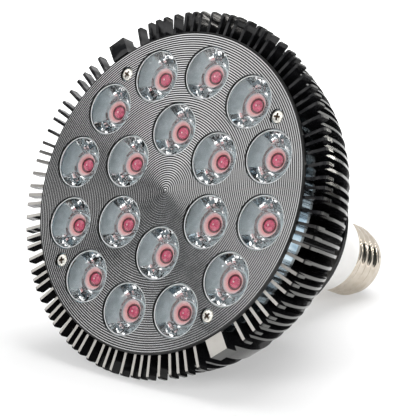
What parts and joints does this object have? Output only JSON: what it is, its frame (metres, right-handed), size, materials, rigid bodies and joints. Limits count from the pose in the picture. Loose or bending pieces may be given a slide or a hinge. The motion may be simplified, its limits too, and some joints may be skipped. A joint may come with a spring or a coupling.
{
  "type": "infrared therapy bulb",
  "caption": "Reflector-size LED lamp with clear round lenses in a flat grooved face, a black radial-fin heatsink, a white tapered housing and a screw cap.",
  "frame": {"origin": "on the bulb's axis in the plane of its front face", "axes": "+Z along the bulb's axis from the face to the cap, +Y through one of the two solid lugs"},
  "size_m": [0.121, 0.1198, 0.122],
  "materials": {
    "fins_black": "glossy black coat on aluminium",
    "face_black": "black anodised, finely grooved by turning",
    "ring_polished": "mirror polished",
    "board_white": "white solder mask on aluminium",
    "lens_clear": "clear moulded acrylic, polished",
    "emitter_red": "white body under a clear red dome",
    "screws_nickel": "nickel plated steel",
    "housing_white": "smooth white moulding",
    "circuit_green": "green solder mask",
    "transformer_tape": "yellow tape over windings, dark ferrite",
    "capacitor_sleeve": "dark blue sleeve",
    "chip_black": "moulded epoxy",
    "resistor_body": "glazed coat",
    "cap_nickel": "nickel plated brass",
    "insulator_dark": "dark moulded insulator",
    "contact_metal": "bright solderable contact",
    "wire_red": "insulated lead",
    "wire_white": "insulated lead",
    "wire_black": "insulated lead"
  },
  "bodies": {
    "root": {"heatsink": "fins_black", "face_plate": "face_black", "spacer_ring": "ring_polished", "led_board": "board_white", "lens_01": "lens_clear", "lens_02": "lens_clear", "lens_03": "lens_clear", "lens_04": "lens_clear", "lens_05": "lens_clear", "lens_06": "lens_clear", "lens_07": "lens_clear", "lens_08": "lens_clear", "lens_09": "lens_clear", "lens_10": "lens_clear", "lens_11": "lens_clear", "lens_12": "lens_clear", "lens_13": "lens_clear", "lens_14": "lens_clear", "lens_15": "lens_clear", "lens_16": "lens_clear", "lens_17": "lens_clear", "lens_18": "lens_clear", "led_01": "emitter_red", "led_02": "emitter_red", "led_03": "emitter_red", "led_04": "emitter_red", "led_05": "emitter_red", "led_06": "emitter_red", "led_07": "emitter_red", "led_08": "emitter_red", "led_09": "emitter_red", "led_10": "emitter_red", "led_11": "emitter_red", "led_12": "emitter_red", "led_13": "emitter_red", "led_14": "emitter_red", "led_15": "emitter_red", "led_16": "emitter_red", "led_17": "emitter_red", "led_18": "emitter_red", "face_screws": "screws_nickel", "board_screws": "screws_nickel", "housing_screws": "screws_nickel", "driver_housing": "housing_white", "driver_board": "circuit_green", "transformer": "transformer_tape", "input_capacitor": "capacitor_sleeve", "output_capacitor": "capacitor_sleeve", "rectifier": "chip_black", "fuse_resistor": "resistor_body", "screw_shell": "cap_nickel", "cap_insulator": "insulator_dark", "centre_contact": "contact_metal", "live_wire": "wire_red", "neutral_wire": "wire_white", "lead_positive": "wire_red", "lead_negative": "wire_black"}
  },
  "joints": []
}
